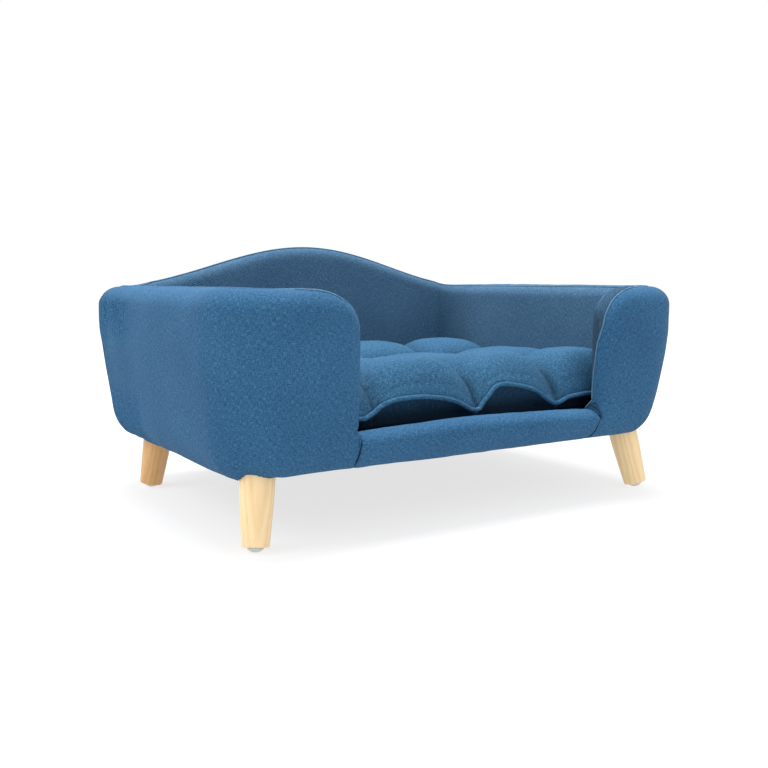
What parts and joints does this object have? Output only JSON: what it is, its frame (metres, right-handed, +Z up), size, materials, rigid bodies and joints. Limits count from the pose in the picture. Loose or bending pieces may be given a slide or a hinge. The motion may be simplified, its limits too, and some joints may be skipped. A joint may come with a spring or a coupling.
{
  "type": "dog sofa bed",
  "caption": "Upholstered sofa bed for a small dog: blue fabric tub with a raised back and a front opening, lift-out tufted cushion, splayed turned wooden legs",
  "frame": {"origin": "on the floor under the middle of the body", "axes": "+X to the right as seen from the front, +Y to the back (the opening faces -Y), +Z up"},
  "size_m": [0.78, 0.596, 0.39],
  "materials": {
    "blue_fabric": "woven",
    "foam": "matte",
    "plywood": "raw",
    "frame_wood": "raw",
    "turned_wood": "satin",
    "lining": "matte",
    "tape": "matte",
    "glide_plastic": "matte",
    "zinc_steel": "plated"
  },
  "bodies": {
    "sofa_body": {"left_side_rail": "frame_wood", "right_side_rail": "frame_wood", "front_rail": "frame_wood", "rear_rail": "frame_wood", "middle_rail": "frame_wood", "deck_board": "plywood", "deck_screws": "zinc_steel", "board_screws": "zinc_steel", "deck_pad": "foam", "deck_cover": "blue_fabric", "base_lining": "lining", "front_board": "plywood", "back_board": "plywood", "left_board": "plywood", "right_board": "plywood", "front_left_corner_board": "plywood", "front_right_corner_board": "plywood", "rear_left_corner_board": "plywood", "rear_right_corner_board": "plywood", "front_left_foam": "foam", "front_right_foam": "foam", "left_foam": "foam", "right_foam": "foam", "back_foam": "foam", "ledge_foam": "foam", "front_left_corner_foam": "foam", "front_right_corner_foam": "foam", "rear_left_corner_foam": "foam", "rear_right_corner_foam": "foam", "outer_cover": "blue_fabric", "inner_cover": "blue_fabric", "ledge_cover": "blue_fabric", "tee_nuts": "zinc_steel"},
    "cushion": {"cushion_cover": "blue_fabric", "cushion_core": "foam", "cushion_piping": "blue_fabric", "zip_tape": "tape"},
    "zip": {"zip_slider": "zinc_steel", "zip_pull": "zinc_steel"},
    "front_left_thread": {"front_left_bolt": "zinc_steel"},
    "front_left_foot": {"front_left_leg": "turned_wood", "front_left_glide": "glide_plastic"},
    "front_right_thread": {"front_right_bolt": "zinc_steel"},
    "front_right_foot": {"front_right_leg": "turned_wood", "front_right_glide": "glide_plastic"},
    "rear_left_thread": {"rear_left_bolt": "zinc_steel"},
    "rear_left_foot": {"rear_left_leg": "turned_wood", "rear_left_glide": "glide_plastic"},
    "rear_right_thread": {"rear_right_bolt": "zinc_steel"},
    "rear_right_foot": {"rear_right_leg": "turned_wood", "rear_right_glide": "glide_plastic"}
  },
  "joints": [
    {"name": "cushion_lift", "type": "slide", "parent": "sofa_body", "child": "cushion", "axis": [0, 0, 1], "range_m": [0, 0.25]},
    {"name": "zip_run", "type": "slide", "parent": "cushion", "child": "zip", "axis": [1, 0, 0], "range_m": [0, 0.385]},
    {"name": "front_left_travel", "type": "slide", "parent": "sofa_body", "child": "front_left_thread", "axis": [-0.1446, -0.2218, -0.9643], "range_m": [0, 0.0152]},
    {"name": "front_left_unscrew", "type": "hinge", "parent": "front_left_thread", "child": "front_left_foot", "pos_m": [-0.334, -0.242, 0], "axis": [-0.1446, -0.2218, -0.9643], "range_deg": [0, 4320]},
    {"name": "front_right_travel", "type": "slide", "parent": "sofa_body", "child": "front_right_thread", "axis": [0.1446, -0.2218, -0.9643], "range_m": [0, 0.0152]},
    {"name": "front_right_unscrew", "type": "hinge", "parent": "front_right_thread", "child": "front_right_foot", "pos_m": [0.334, -0.242, 0], "axis": [0.1446, -0.2218, -0.9643], "range_deg": [0, 4320]},
    {"name": "rear_left_travel", "type": "slide", "parent": "sofa_body", "child": "rear_left_thread", "axis": [-0.1476, 0.0984, -0.9841], "range_m": [0, 0.0152]},
    {"name": "rear_left_unscrew", "type": "hinge", "parent": "rear_left_thread", "child": "rear_left_foot", "pos_m": [-0.329, 0.176, 0], "axis": [-0.1476, 0.0984, -0.9841], "range_deg": [0, 4320]},
    {"name": "rear_right_travel", "type": "slide", "parent": "sofa_body", "child": "rear_right_thread", "axis": [0.1476, 0.0984, -0.9841], "range_m": [0, 0.0152]},
    {"name": "rear_right_unscrew", "type": "hinge", "parent": "rear_right_thread", "child": "rear_right_foot", "pos_m": [0.329, 0.176, 0], "axis": [0.1476, 0.0984, -0.9841], "range_deg": [0, 4320]}
  ],
  "couplings": [
    {"joint": "front_left_travel", "follows": "front_left_unscrew", "m_per_rad": 0.00019894},
    {"joint": "front_right_travel", "follows": "front_right_unscrew", "m_per_rad": 0.00019894},
    {"joint": "rear_left_travel", "follows": "rear_left_unscrew", "m_per_rad": 0.00019894},
    {"joint": "rear_right_travel", "follows": "rear_right_unscrew", "m_per_rad": 0.00019894}
  ]
}
